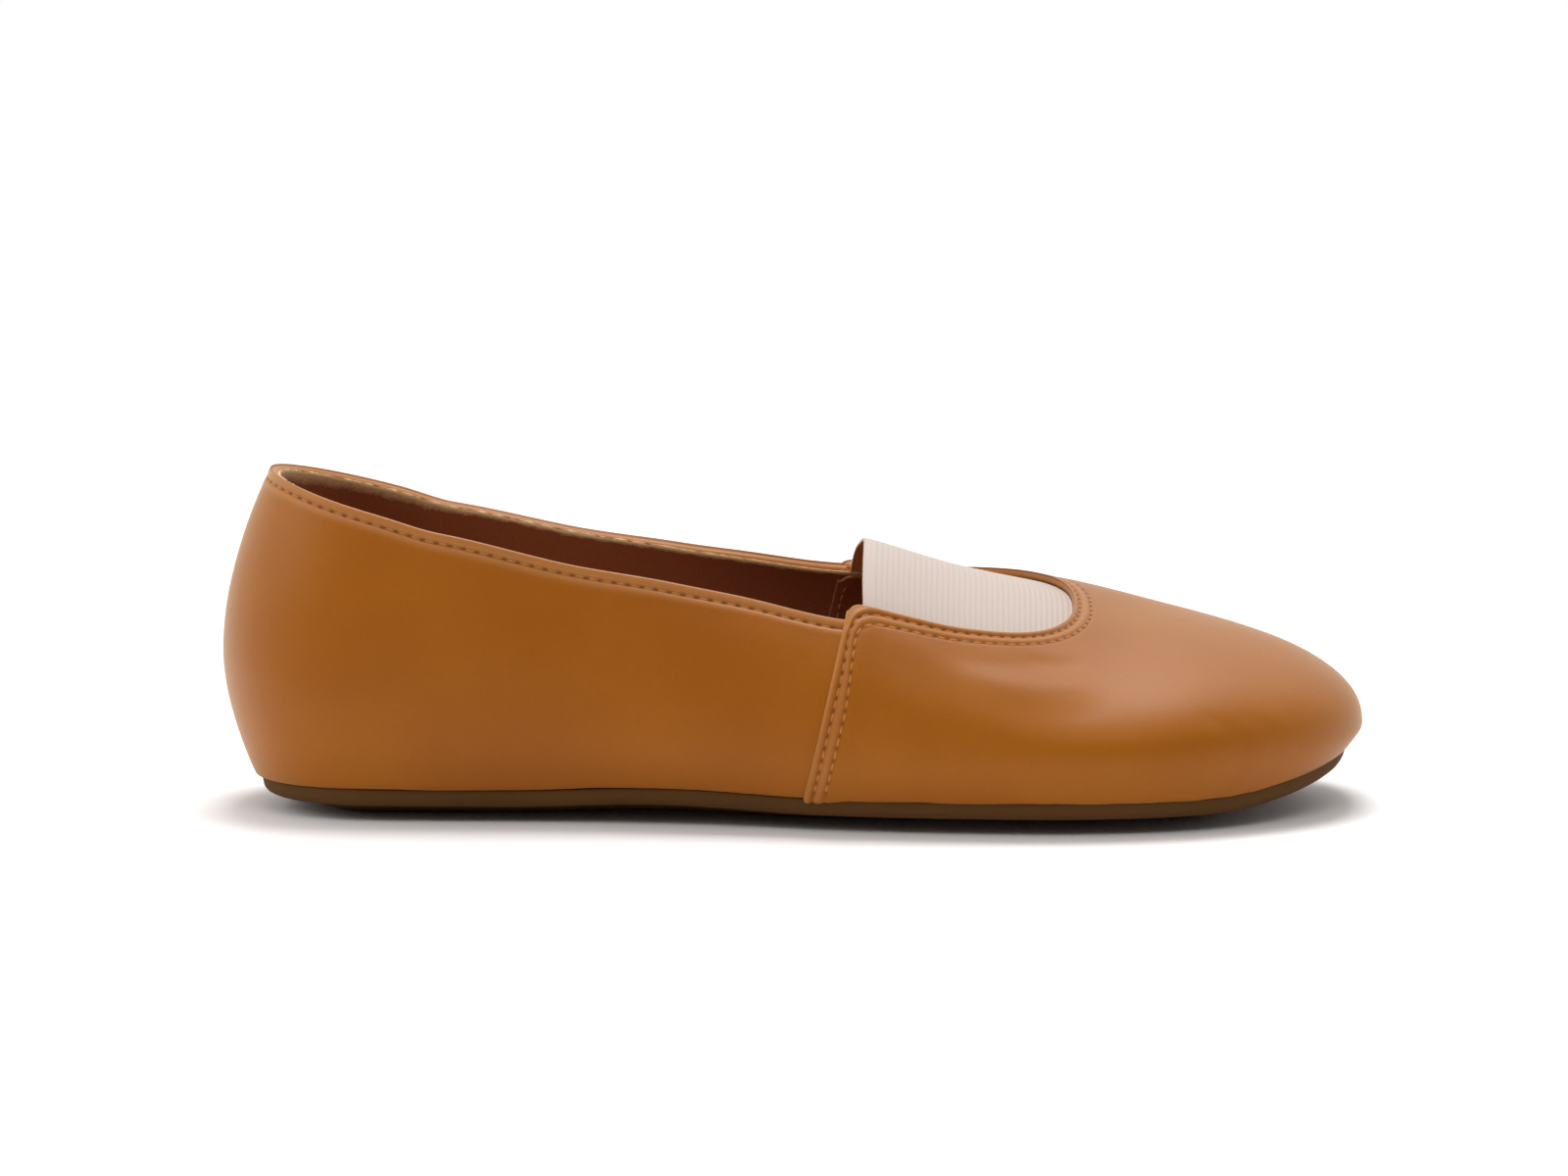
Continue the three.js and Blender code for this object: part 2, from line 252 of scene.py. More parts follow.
def share(x):
    return np.clip(x / LENGTH + 0.5, 0, 1)


def smooth_step(value, low, high):
    part = np.clip((value - low) / (high - low), 0, 1)
    return part * part * (3 - 2 * part)


def along(rows, name, at):
    """Smooth value of one column of a table."""
    spots, values = rows["at"], rows[name]
    count = len(spots)
    before = np.maximum(np.arange(count) - 1, 0)
    after = np.minimum(np.arange(count) + 1, count - 1)
    slopes = (values[after] - values[before]) / (spots[after] - spots[before])
    at = np.clip(at, spots[0], spots[-1])
    k = np.clip(np.searchsorted(spots, at, side="right") - 1, 0, count - 2)
    span = spots[k + 1] - spots[k]
    s = (at - spots[k]) / span
    start = values[k] * (1 + 2 * s) * (1 - s) ** 2 + slopes[k] * span * s * (1 - s) ** 2
    end = values[k + 1] * (3 - 2 * s) * s**2 - slopes[k + 1] * span * (1 - s) * s**2
    return start + end


def width_at(x):
    return HEEL_WIDTH + (BALL_WIDTH - HEEL_WIDTH) * smooth_step(share(x), 0.25, 0.75)


def height_at(x):
    return HEEL_HEIGHT + (INSTEP_HEIGHT - HEEL_HEIGHT) * smooth_step(share(x), 0.20, 0.55)


def arc_fall(part, fullness):
    return np.maximum(0, 1 - np.clip(part, 0, 1) ** fullness) ** (1 / fullness)


def middle_line(x):
    return TOE_LEAN * smooth_step(share(x), LEAN_START, 1)


def half_width(side, x, inset=0.0):
    lateral = along(SECTIONS, "lateral", share(x))
    medial = along(SECTIONS, "medial", share(x))
    column = np.where(side < 0, lateral, medial)
    heel_part = (HEEL_ROUND - LENGTH / 2 - x) / (HEEL_ROUND - inset)
    toe_part = (x - LENGTH / 2 + TOE_ROUND) / (TOE_ROUND - inset)
    rounding = arc_fall(heel_part, HEEL_FULLNESS) * arc_fall(toe_part, TOE_FULLNESS)
    return (column * width_at(x) - inset) * rounding


def tuck_at(x):
    return along(SECTIONS, "tuck", share(x)) * width_at(x)


def belly_at(x):
    return along(SECTIONS, "belly", share(x)) * height_at(x)


def ground_at(x):
    """Underside of the sole, with the arch and the toe spring."""
    at = share(x)
    rise = ARCH_RISE * np.sin(np.pi * np.clip((at - ARCH_FROM) / (ARCH_TO - ARCH_FROM), 0, 1)) ** 2
    return rise + TOE_SPRING * np.clip((at - SPRING_START) / (1 - SPRING_START), 0, 1) ** SPRING_CURVE


def feather_at(x):
    return ground_at(x) + SOLE_THICKNESS + LEATHER_GAP


def ray_at(x, y):
    """Share of the way from the spine to the widest line, and where that ray ends."""
    offset = y - middle_line(x)
    side = np.where(offset < 0, -1, 1)
    low = np.zeros_like(x)
    high = np.ones_like(x)
    for _ in range(32):
        r = (low + high) / 2
        end = x / (SPINE_SHARE + (1 - SPINE_SHARE) * r)
        inside = (np.abs(end) < LENGTH / 2) & (r * half_width(side, end) > np.abs(offset))
        high = np.where(inside, r, high)
        low = np.where(inside, low, r)
    return high, np.clip(x / (SPINE_SHARE + (1 - SPINE_SHARE) * high), -LENGTH / 2, LENGTH / 2)


def last_top(x, y):
    """Height of the last above its widest line."""
    r, end = ray_at(x, y)
    belly = belly_at(end)
    crown = along(SECTIONS, "crown", share(x)) * height_at(x)
    roll = along(SECTIONS, "roll", share(x)) * (y - middle_line(x))
    return belly + (crown - belly + roll) * arc_fall(r, along(SECTIONS, "full", share(end)))


def outline(side, x):
    return np.stack([x, middle_line(x) + side * half_width(side, x)], -1)


def running_length(points):
    steps = np.linalg.norm(np.diff(points, axis=0), axis=1)
    return np.concatenate([[0], np.cumsum(steps)])


def at_lengths(points, lengths, run):
    """Points at given lengths along a line, of which run gives the lengths at its points."""
    return np.stack([np.interp(lengths, run, points[:, k]) for k in range(points.shape[1])], -1)


def collar_height(x, y):
    lateral = along(COLLAR, "lateral", share(x))
    medial = along(COLLAR, "medial", share(x))
    return np.where(y < middle_line(x), lateral, medial) * height_at(x)


def collar_places(edge):
    """Where the rays from the widest line to the spine meet the collar."""
    spine = np.stack([edge[:, 0] * SPINE_SHARE, middle_line(edge[:, 0] * SPINE_SHARE)], -1)
    low = np.zeros(len(edge))
    high = np.ones(len(edge))
    for _ in range(32):
        part = (low + high) / 2
        p = edge + (spine - edge) * part[:, None]
        over = last_top(p[:, 0], p[:, 1]) > collar_height(p[:, 0], p[:, 1])
        high = np.where(over, part, high)
        low = np.where(over, low, part)
    return edge + (spine - edge) * high[:, None]


def wall_lines(edge, top, under):
    """Lines down the last: from the top edge over the widest line and in under the shoe."""
    tangent = np.gradient(edge, axis=0)
    tangent /= np.linalg.norm(tangent, axis=1)[:, None]
    inward = np.stack([tangent[:, 1], -tangent[:, 0]], -1)
    if np.sum(inward * (top - edge)) < 0:
        inward = -inward
    parts = np.linspace(1, 0, 70) ** 2
    plan = edge[:, None] + (top - edge)[:, None] * parts[None, :, None]
    upper = np.concatenate([plan, last_top(plan[..., 0], plan[..., 1])[..., None]], -1)
    tuck = tuck_at(edge[:, 0])[:, None]
    down = np.linspace(0, 1, 26)[None, 1:]
    plan = edge[:, None] + inward[:, None] * (tuck * down**TUCK_CURVE)[..., None]
    belly = belly_at(edge[:, 0])[:, None]
    low = belly + (feather_at(plan[..., 0]) - belly) * down
    lower = np.concatenate([plan, low[..., None]], -1)
    beneath = np.linspace(0, under, 9)[None, 1:]
    plan = edge[:, None] + inward[:, None] * (tuck + beneath)[..., None]
    bottom = np.concatenate([plan, feather_at(plan[..., 0])[..., None]], -1)
    return np.concatenate([upper, lower, bottom], 1)


def rows_down(lines, near, count, drop=None):
    """Rows at set distances below the top edge, then even ones down to each line's end."""
    rows = []
    for k, line in enumerate(lines):
        run = running_length(line)
        first = 0 if drop is None else drop[k]
        set_rows = first + np.array(near)
        even = np.linspace(set_rows[-1], run[-1], count + 1)[1:]
        rows.append(at_lengths(line, np.concatenate([set_rows, even]), run))
    return np.array(rows)


def outward(grid):
    """Outward directions of a grid of places on the last."""
    normal = np.cross(np.gradient(grid, axis=0), np.gradient(grid, axis=1))
    normal /= np.linalg.norm(normal, axis=-1, keepdims=True) + 1e-12
    middle = grid[..., :2] - np.stack([grid[..., 0] * SPINE_SHARE, grid[..., 1] * 0], -1)
    if np.sum(normal[..., :2] * middle) < 0:
        normal = -normal
    return normal


def hump(distance, centre, width):
    return np.exp(-(((distance - centre) / width) ** 2))


def unevenness(grid):
    """Slow, soft unevenness of lasted leather, in millimetres."""
    x, y, z = grid[..., 0], grid[..., 1], grid[..., 2]
    slow = np.sin(x / 17.0 + z / 11.0) * np.sin(z / 9.0 + y / 23.0 + 1.3)
    fine = np.sin(x / 7.3 - z / 6.1 + 2.0) * np.sin(x / 11.7 + z / 5.3)
    return 0.10 * slow + 0.045 * fine


def side_shift():
    """The part stands centred on its own box, so the last's middle line lies off the origin."""
    x = np.linspace(-LENGTH / 2, LENGTH / 2, 4001)
    low = outline(-1, x)[:, 1].min()
    high = outline(1, x)[:, 1].max()
    return -(low + high) / 2


SIDE_SHIFT = side_shift()


def to_world(places):
    """The last counts its heights from the sole's edge, which lies over the floor."""
    return (places + np.array([0, SIDE_SHIFT, SOLE_CAMBER])) * MM


def shaped_grid(name, places, material, marks=None):
    """A grid whose corners go to their places. Its rows close on themselves, its open ends are
    capped, and marks are numbers that its finish reads."""
    columns, rows = places.shape[0] - 1, places.shape[1] - 1
    shape = bmesh.new()
    bmesh.ops.create_grid(shape, x_segments=columns, y_segments=rows, size=0.5)
    layers = {key: shape.verts.layers.float.new(key) for key in (marks or {})}
    world_places = to_world(places)
    for vert in shape.verts:
        i = round((vert.co.x + 0.5) * columns)
        j = round((vert.co.y + 0.5) * rows)
        vert.co = world_places[i, j]
        for key, layer in layers.items():
            vert[layer] = float(marks[key][i, j])
    bmesh.ops.remove_doubles(shape, verts=shape.verts, dist=2e-6)
    open_edges = [edge for edge in shape.edges if edge.is_boundary]
    bmesh.ops.holes_fill(shape, edges=open_edges, sides=0)
    bmesh.ops.recalc_face_normals(shape, faces=shape.faces)
    return finish_piece(name, shape, material)


def finish_piece(name, shape, material):
    mesh = bpy.data.meshes.new(name)
    shape.to_mesh(mesh)
    shape.free()
    mesh.shade_smooth()
    mesh.materials.append(material)
    piece = bpy.data.objects.new(name, mesh)
    bpy.context.scene.collection.objects.link(piece)
    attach(piece, "root")
    return piece


def leather_finish(name):
    """Smooth, fine-grained tan leather with a satin dressing, which shines more aslant and less down by
    the sole. Its stitch grooves and needle holes are painted darker as painted shade. Its folded edges
    are painted paler, partly as a rubbed edge and partly as a painted highlight, and the ridges beside
    the stitches are painted paler as a painted highlight."""
    material, surface, wire = new_finish(name, (0.36, 0.105, 0.012), 0.42, specular=0.16, sheen=0.14)
    place = wire.node("TexCoord", output=3)
    cloud = wire.node("TexNoise", {"Vector": place, "Scale": 22, "Detail": 3, "Roughness": 0.5})
    fine = wire.node("TexNoise", {"Vector": place, "Scale": 900, "Detail": 4, "Roughness": 0.6})
    pores = wire.node("TexVoronoi", {"Vector": place, "Scale": 1500, "Randomness": 1.0})
    tone = wire.node("MapRange", {0: cloud, 1: 0.35, 2: 0.65, 3: 0.0, 4: 1.0})
    body = wire.mix(tone, (0.325, 0.088, 0.002), (0.370, 0.109, 0.003))
    specks = wire.node("MapRange", {0: fine, 1: 0.3, 2: 0.7, 3: 0.0, 4: 0.12})
    grained = wire.mix(specks, body, (0.21, 0.058, 0.005))
    # Painted highlight: paler on the folded beads (partly a rubbed edge too) and on the ridges beside
    # the stitches
    edged = wire.mix(wire.mark("rub_and_highlight") * 0.45, grained, (0.52, 0.225, 0.075))
    # Painted shade: the stitch grooves and needle holes are painted darker
    groove_shade = wire.mark("groove_shade")
    feed(wire.mix(groove_shade, edged, (0.16, 0.043, 0.005)), surface, "Base Color")
    feed(0.36 + fine * 0.10 + cloud * 0.08 + groove_shade * 0.2, surface, "Roughness")
    surface.inputs["Sheen Tint"].default_value = (1.0, 0.85, 0.25, 1)
    aslant = wire.node("LayerWeight", {"Blend": 0.5}, output=1)
    gloss = wire.node("MapRange", {0: aslant, 1: 0.05, 2: 0.5, 3: 0.05, 4: 0.85})
    height = wire.node("SeparateXYZ", {"Vector": place}, output=2)
    polished = wire.node("MapRange", {0: height, 1: 0.010, 2: 0.032, 3: 0.4, 4: 1.0})
    feed(gloss * polished, surface, "Coat Weight")
    relief = pores * 0.5 + fine * 0.5
    bump = wire.node("Bump", {"Strength": 0.18, "Distance": 0.0002, "Height": relief})
    feed(bump, surface, "Normal")
    return material


tan_leather = leather_finish("tan_leather")

COLLAR_THICKNESS = 2.3
BEAD_RISE = 0.35
COLLAR_STITCH = 3.25
STITCH_ROW = 2.1
STITCH_PITCH = 3.0
STITCH_LENGTH = 2.1
HOLE_WIDTH = 0.48
QUARTER_FRONT = 22
QUARTER_HEIGHT = 60
LASTING_MARGIN = 6
SKIN = 1.0
RIM_STEPS = 7
QUARTER_COLUMNS = 640
QUARTER_ROWS = 46
# Rows of the mesh by their distance below the collar, close together round the stitches
NEAR_ROWS = (
    0.0, 0.35, 0.7, 1.0, 1.3, 1.6, 1.8, 1.95, STITCH_ROW, 2.25, 2.4, 2.6, 2.8, 3.05, 3.3, 3.6, 4.0,
    4.6, 5.6, 7.2)
ROWS_BY_STITCHES = slice(4, 14)


def heel_outline(start, count):
    """Even points of the widest line from the outer side round the heel to the inner side."""
    turn = np.sin(np.linspace(0, np.pi / 2, 1200))
    x = start - (start + LENGTH / 2) * turn
    ring = np.concatenate([outline(-1, x), outline(1, x[::-1])[1:]])
    run = running_length(ring)
    return at_lengths(ring, np.linspace(0, run[-1], count + 1), run)


def over_the_edge(rows, normals, lift, thickness):
    """Places round the top edge: half a circle from the outer face to the inner one."""
    down = rows[:, 1] - rows[:, 0]
    down /= np.linalg.norm(down, axis=1)[:, None]
    outer_lift = lift[:, 0][:, None]
    radius = (thickness + outer_lift) / 2
    centre = rows[:, 0] + down * (thickness / 2) + normals[:, 0] * (outer_lift - radius)
    ring = [
        centre + normals[:, 0] * radius * math.cos(angle) - down * (thickness / 2) * math.sin(angle)
        for angle in np.linspace(0, np.pi, RIM_STEPS + 2)[1:-1]]
    return np.stack(ring, 1)


def distances_down(near, height, count, thickness, shape):
    """About how far each row lies below the top edge."""
    even = np.linspace(near[-1], height, count + 1)[1:]
    return np.broadcast_to(np.concatenate([near, even]) + thickness / 2, shape)


quarter_edge = heel_outline(QUARTER_FRONT, QUARTER_COLUMNS)
quarter_lines = wall_lines(quarter_edge, collar_places(quarter_edge), LASTING_MARGIN)
quarter_rows = rows_down(quarter_lines, np.array(NEAR_ROWS) + COLLAR_THICKNESS / 2, QUARTER_ROWS)
quarter_normals = outward(quarter_rows)
quarter_down = distances_down(
    NEAR_ROWS, QUARTER_HEIGHT, QUARTER_ROWS, COLLAR_THICKNESS, quarter_rows.shape[:2])


def needle_holes(places, line, run, pitch):
    """How near places lie to the needle holes of a row of stitches, from 0 to 1."""
    holes = at_lengths(line, np.arange(0, run[-1], pitch), run)
    near = np.zeros(places.shape[:2])
    for j in range(places.shape[1]):
        steps = places[:, j, None] - holes[None]
        distance = np.sqrt(np.min(np.sum(steps**2, -1), 1))
        near[:, j] = hump(distance, 0, HOLE_WIDTH)
    return near


collar_row = NEAR_ROWS.index(STITCH_ROW)
collar_line = quarter_rows[:, collar_row]
collar_run = running_length(collar_line)
collar_holes = np.zeros(quarter_rows.shape[:2])
collar_holes[:, ROWS_BY_STITCHES] = needle_holes(
    quarter_rows[:, ROWS_BY_STITCHES], collar_line, collar_run, STITCH_PITCH)

# The bead stands out above the stitches, which pull the leather in. It is flatter at the heel.
round_heel = 1 - 0.6 * smooth_step(-quarter_rows[..., 0], 100, 122)
bead_part = np.clip(quarter_down / (COLLAR_STITCH - 0.1), 0, 1)
bead = BEAD_RISE * round_heel * np.sin(np.pi * bead_part) ** 0.8
quarter_lift = (
    np.where(bead_part < 1, bead, 0)
    + round_heel * (
        0.20 * hump(quarter_down, 4.4, 0.9)
        - 0.30 * hump(quarter_down, quarter_down[0, collar_row], 0.45)
        - 0.16 * collar_holes)
    + unevenness(quarter_rows) * smooth_step(quarter_down, 4, 10)
)
quarter_outer = quarter_rows + quarter_normals * quarter_lift[..., None]
quarter_rim = over_the_edge(quarter_rows, quarter_normals, quarter_lift, COLLAR_THICKNESS)
fold_rows = quarter_rows[:, 0:3] - quarter_normals[:, 0:3] * COLLAR_THICKNESS
back_rows = quarter_rows[:, 3::4] - quarter_normals[:, 3::4] * SKIN
quarter_loop = np.concatenate(
    [quarter_outer[:, ::-1], quarter_rim, fold_rows, back_rows, quarter_outer[:, -1:]], 1)


def loop_marks(outer_mark, places, rim=0.0):
    """A mark of the outer face, with one value round its top edge and none on the rest."""
    mark = np.zeros(places.shape[:2])
    count = outer_mark.shape[1]
    mark[:, :count] = outer_mark[:, ::-1]
    mark[:, count:count + RIM_STEPS] = rim
    return mark


# Painted shade in the collar's stitch groove and its needle holes
quarter_groove_shade = 0.30 * hump(quarter_down, quarter_down[0, collar_row], 0.36) + 0.42 * collar_holes
# Painted highlight on the collar bead and on the ridge below the stitches; the bead is partly a rubbed
# edge too
quarter_rub_and_highlight = np.where(quarter_down < COLLAR_STITCH, 1.0, 0.9 * hump(quarter_down, 4.3, 0.8))
quarters = shaped_grid("quarters", quarter_loop, tan_leather, {
    "groove_shade": loop_marks(quarter_groove_shade, quarter_loop),
    "rub_and_highlight": loop_marks(quarter_rub_and_highlight, quarter_loop, 0.8),
})


# Vamp
# One piece of the same leather over the toes. Its folded back edges lap over the quarters at
# a slanted seam on each side, and its folded throat edge is a U over the instep. Two rows of
# stitches run round both.
THROAT_BACK = 13
THROAT_DEPTH = 48
THROAT_SPREAD = 0.7
THROAT_FULLNESS = 2.5
SEAM_FOOT = (1.6, -0.6)
SEAM_LEAN = 0.232
LAP_RISE = 0.95
CORNER_RADIUS = 2.6
ROW_ONE = 2.05
ROW_TWO = 4.6
CORNER_REACH = 9.0
VAMP_PITCH = 2.7
VAMP_STITCH = 1.95
VAMP_THICKNESS = 1.3
VAMP_HEIGHT = 50
BEHIND_THROAT = 20
VAMP_STATIONS = 520
VAMP_COLUMNS = 330
VAMP_ROWS = 96
# Rows and columns of the mesh by their distance from the throat and from the seams
VAMP_NEAR = (
    0.0, 0.25, 0.5, 0.8, 1.1, 1.4, 1.7, 1.95, 2.15, 2.4, 2.7, 3.0, 3.4, 3.8, 4.1, 4.4, 4.7, 5.0,
    5.4, 6.0, 7.0)
VAMP_SIDE = (
    0.0, 0.12, 0.3, 0.55, 0.9, 1.3, 1.7, 2.05, 2.4, 2.8, 3.3, 3.8, 4.3, 4.6, 4.9, 5.3, 6.0, 7.0,
    8.5, 10.5)
ROWS_BY_THROAT = 20
COLUMNS_BY_SEAM = 16


def throat_half(side):
    return THROAT_SPREAD * half_width(side, np.array([THROAT_BACK], float))[0]


def throat_line(angle):
    """The throat's edge, by the angle from the outer corner over the toe side to the inner one."""
    power = 2 / THROAT_FULLNESS
    across = -np.sign(np.cos(angle)) * np.abs(np.cos(angle)) ** power
    x = THROAT_BACK + THROAT_DEPTH * np.sin(angle) ** power
    half = np.where(across < 0, throat_half(-1), throat_half(1))
    return np.stack([x, middle_line(x) + half * across], -1)


def reach(start, angle):
    """Points of the widest line in the given directions from the throat's edge."""
    direction = np.stack([np.sin(angle), -np.cos(angle)], -1)
    low = np.zeros(len(start))
    high = np.full(len(start), float(LENGTH))
    for _ in range(36):
        far = (low + high) / 2
        p = start + direction * far[:, None]
        offset = p[:, 1] - middle_line(p[:, 0])
        out = (np.abs(p[:, 0]) > LENGTH / 2) | (np.abs(offset) > half_width(np.sign(offset), p[:, 0]))
        high = np.where(out, far, high)
        low = np.where(out, low, far)
    return start + direction * low[:, None]


def vamp_stations(count):
    """Even pairs of points of the widest line and the throat's edge, from side to side."""
    angle = np.pi * (0.5 - 0.5 * np.cos(np.linspace(0, np.pi, 1500)))
    throat = throat_line(angle)
    edge = reach(throat, angle)
    back = np.linspace(THROAT_BACK - BEHIND_THROAT, THROAT_BACK, 120)[:-1]
    tops, edges = [throat], [edge]
    for side, place in ((-1, 0), (1, 2)):
        half = throat_half(side)
        line = np.stack([back, middle_line(back) + side * half], -1)
        rim = outline(side, back)
        if place:
            line, rim = line[::-1], rim[::-1]
        tops.insert(place, line)
        edges.insert(place, rim)
    tops, edges = np.concatenate(tops), np.concatenate(edges)
    run = 0.35 * running_length(tops) + 0.65 * running_length(edges)
    wanted = np.linspace(0, run[-1], count + 1)
    return at_lengths(edges, wanted, run), at_lengths(tops, wanted, run)


def seam_offset(points):
    """How far points lie in front of the side seam, which is further back on the inner side."""
    foot = np.where(points[..., 1] < middle_line(points[..., 0]), *SEAM_FOOT)
    return points[..., 0] - (foot + SEAM_LEAN * points[..., 2])


def between_seams(rows, near, count):
    """Cuts rows at both seams, and spaces them by distance from the seams."""
    cut = []
    for j in range(rows.shape[1]):
        line = rows[:, j]
        ahead = seam_offset(line)
        first = np.argmax(ahead > 0)
        last = len(line) - 1 - np.argmax(ahead[::-1] > 0)
        ends = []
        for inner, outer in ((first, first - 1), (last, last + 1)):
            part = ahead[inner] / (ahead[inner] - ahead[outer])
            ends.append(line[inner] + (line[outer] - line[inner]) * part)
        kept = np.concatenate([[ends[0]], line[first:last + 1], [ends[1]]])
        run = running_length(kept)
        near = np.array(near)
        even = np.linspace(near[-1], run[-1] - near[-1], count + 1)[1:-1]
        cut.append(at_lengths(kept, np.concatenate([near, even, run[-1] - near[::-1]]), run))
    return np.stack(cut, 1)


vamp_edge, vamp_top = vamp_stations(VAMP_STATIONS)
vamp_lines = wall_lines(vamp_edge, vamp_top, LASTING_MARGIN)
top_gap = np.abs(seam_offset(vamp_lines[:, 0]))
corner_part = np.clip(1 - top_gap / CORNER_RADIUS, 0, 1)
corner_drop = CORNER_RADIUS * (1 - np.sqrt(1 - corner_part**2))
vamp_rows = rows_down(vamp_lines, np.array(VAMP_NEAR) + VAMP_THICKNESS / 2, VAMP_ROWS, corner_drop)
vamp_rows = between_seams(vamp_rows, VAMP_SIDE, VAMP_COLUMNS)
vamp_normals = outward(vamp_rows)
seam_distance = np.full(vamp_rows.shape[0], 30.0)
seam_distance[:len(VAMP_SIDE)] = VAMP_SIDE
seam_distance[-len(VAMP_SIDE):] = VAMP_SIDE[::-1]
vamp_side = np.broadcast_to(seam_distance[:, None], vamp_rows.shape[:2])
vamp_down = distances_down(VAMP_NEAR, VAMP_HEIGHT, VAMP_ROWS, VAMP_THICKNESS, vamp_rows.shape[:2])


def nearest_edge(down, side):
    """Distance to the nearer edge, rounded where the two meet at the corner."""
    a = np.clip(1 - down / CORNER_REACH, 0, 1)
    b = np.clip(1 - side / CORNER_REACH, 0, 1)
    return CORNER_REACH * (1 - np.clip(np.sqrt(a * a + b * b), 0, 1))


# Creases of the vamp, each from one point to another on the last's plan, with its width and its depth
CREASES = table(
    "x y toward_x toward_y width depth",
    (32, -34, 60, -29, 2.8, 0.34),
    (38, -37.5, 64, -34, 2.4, -0.24),
    (44, -41, 66, -39, 2.4, 0.20),
    (48, -29, 62, -24, 2.0, 0.16),
    (20, -36, 31, -39, 2.6, 0.26),
    (88, -36, 99, -33, 1.5, 0.22),
    (91, -39, 102, -36, 1.2, 0.18),
    (95, -33, 104, -29, 1.2, 0.14),
    (40, 34, 64, 30, 2.8, 0.40),
    (74, -20, 79, 20, 11, 0.95),
)


def creased(grid):
    """Soft troughs and ridges where the vamp bends in use."""
    total = np.zeros(grid.shape[:2])
    for k in range(len(CREASES["x"])):
        start = np.array([CREASES["x"][k], CREASES["y"][k]])
        way = np.array([CREASES["toward_x"][k], CREASES["toward_y"][k]]) - start
        length = np.linalg.norm(way)
        way /= length
        offset = grid[..., :2] - start
        run = offset @ way
        aside = offset @ np.array([-way[1], way[0]]) + 1.2 * np.sin(run / 6.0)
        part = run / length
        fade = smooth_step(part, -0.25, 0.3) * (1 - smooth_step(part, 0.7, 1.25))
        total -= CREASES["depth"][k] * fade * hump(aside, 0, CREASES["width"][k])
    return total


edge_distance = nearest_edge(vamp_down, vamp_side)


def contour_on_vamp(distance):
    """Where the vamp is crossed at one distance from its edges: up the outer seam, round the
    throat and down the inner seam. Each crossing is two neighbours and a share."""
    columns, count = edge_distance.shape
    round_throat, up_seams = [], ([], [])
    for i in range(columns):
        values = edge_distance[i]
        if values[0] < distance < values.max():
            j = int(np.argmax(values > distance))
            share_of = (distance - values[j - 1]) / (values[j] - values[j - 1])
            round_throat.append((i, j - 1, i, j, share_of))
    for crossings, step in zip(up_seams, (1, -1)):
        for j in range(count - 1, -1, -1):
            values = edge_distance[::step][:len(VAMP_SIDE), j]
            if vamp_down[0, j] < CORNER_REACH:
                break
            if values.max() <= distance:
                continue
            k = int(np.argmax(values > distance))
            share_of = (distance - values[k - 1]) / (values[k] - values[k - 1])
            near, far = (k - 1, k) if step > 0 else (columns - k, columns - 1 - k)
            crossings.append((near, j, far, j, share_of))
    crossings = np.array(up_seams[0] + round_throat + up_seams[1][::-1])
    return crossings[:, :4].astype(int), crossings[:, 4:]


def on_contour(grid, contour):
    near, part = contour
    return grid[near[:, 0], near[:, 1]] * (1 - part) + grid[near[:, 2], near[:, 3]] * part


def above_margin(contour):
    """The stretch of a contour that isn't turned in under the shoe."""
    high = on_contour(vamp_rows, contour)[:, 2] > SOLE_THICKNESS + 1.8
    return contour[0][high], contour[1][high]


first_contour = above_margin(contour_on_vamp(ROW_ONE))
second_contour = above_margin(contour_on_vamp(ROW_TWO))
first_run = running_length(on_contour(vamp_rows, first_contour))
second_run = running_length(on_contour(vamp_rows, second_contour))
vamp_holes = np.zeros(vamp_rows.shape[:2])
for contour, run in ((first_contour, first_run), (second_contour, second_run)):
    line = on_contour(vamp_rows, contour)
    by_throat = slice(0, ROWS_BY_THROAT)
    vamp_holes[:, by_throat] += needle_holes(vamp_rows[:, by_throat], line, run, VAMP_PITCH)
    below = slice(ROWS_BY_THROAT, None)
    for ends in (slice(0, COLUMNS_BY_SEAM), slice(-COLUMNS_BY_SEAM, None)):
        vamp_holes[ends, below] += needle_holes(vamp_rows[ends, below], line, run, VAMP_PITCH)
fold = np.sqrt(1 - np.clip(1 - vamp_side / 0.9, 0, 1) ** 2)
vamp_lift = (
    LAP_RISE * fold * (1 - 0.7 * smooth_step(vamp_side, 3.5, 10.5))
    + 0.22 * hump(edge_distance, 0.9, 0.8)
    - 0.30 * hump(edge_distance, ROW_ONE, 0.36)
    + 0.14 * hump(edge_distance, 3.3, 0.8)
    - 0.22 * hump(edge_distance, ROW_TWO, 0.42)
    - 0.18 * vamp_holes
    + unevenness(vamp_rows) * smooth_step(edge_distance, 5, 9)
    + creased(vamp_rows)
)
vamp_outer = vamp_rows + vamp_normals * vamp_lift[..., None]
vamp_rim = over_the_edge(vamp_rows, vamp_normals, vamp_lift, VAMP_THICKNESS)
vamp_back = vamp_rows[:, 0::4] - vamp_normals[:, 0::4] * SKIN
vamp_loop = np.concatenate([vamp_outer[:, ::-1], vamp_rim, vamp_back, vamp_outer[:, -1:]], 1)
# Painted shade in the two stitch grooves and their needle holes
vamp_groove_shade = (
    0.32 * hump(edge_distance, ROW_ONE, 0.32)
    + 0.22 * hump(edge_distance, ROW_TWO, 0.32)
    + 0.42 * vamp_holes
)
